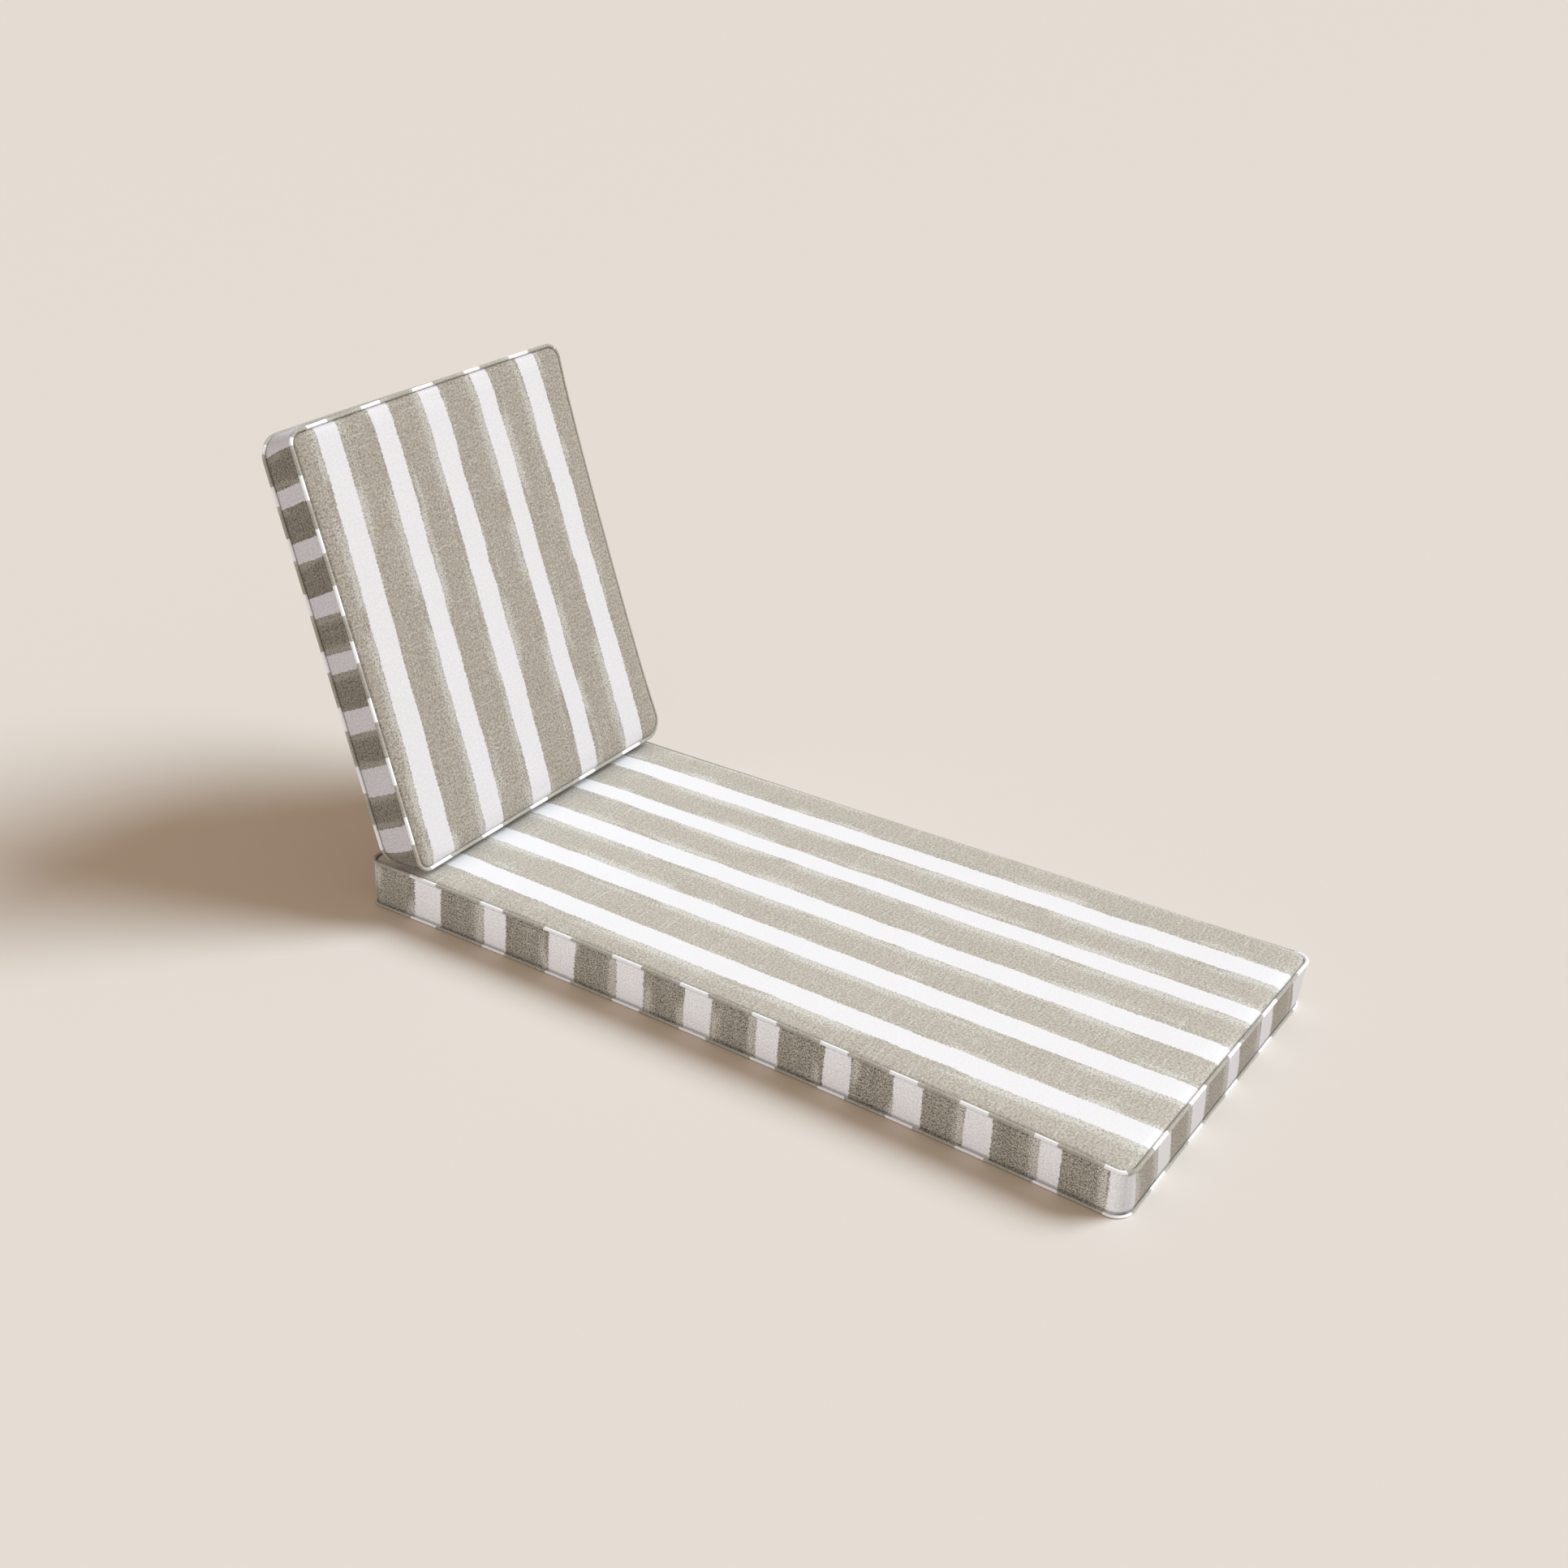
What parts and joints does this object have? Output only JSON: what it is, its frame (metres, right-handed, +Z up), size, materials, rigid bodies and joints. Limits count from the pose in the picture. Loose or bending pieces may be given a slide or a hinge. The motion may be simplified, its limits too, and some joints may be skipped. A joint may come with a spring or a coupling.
{
  "type": "two-part sun lounger cushion",
  "caption": "Piped box cushion for a sun lounger: a long flat seat cushion and a back cushion that stands on its head end and leans back.",
  "frame": {"origin": "on the floor, under the middle of the whole cushion set", "axes": "+X along the seat towards the foot end, +Z up; the back leans towards -X"},
  "size_m": [1.4606, 0.608, 0.7642],
  "materials": {
    "striped_cloth": "matt slubbed weave with painted taupe and white stripes",
    "piping_cloth": "the same striped cloth wrapped round a cord"
  },
  "bodies": {
    "root": {"seat_cushion": "striped_cloth", "seat_welt_top": "piping_cloth", "seat_welt_bottom": "piping_cloth", "back_cushion": "striped_cloth", "back_welt_front": "piping_cloth", "back_welt_rear": "piping_cloth"}
  },
  "joints": []
}
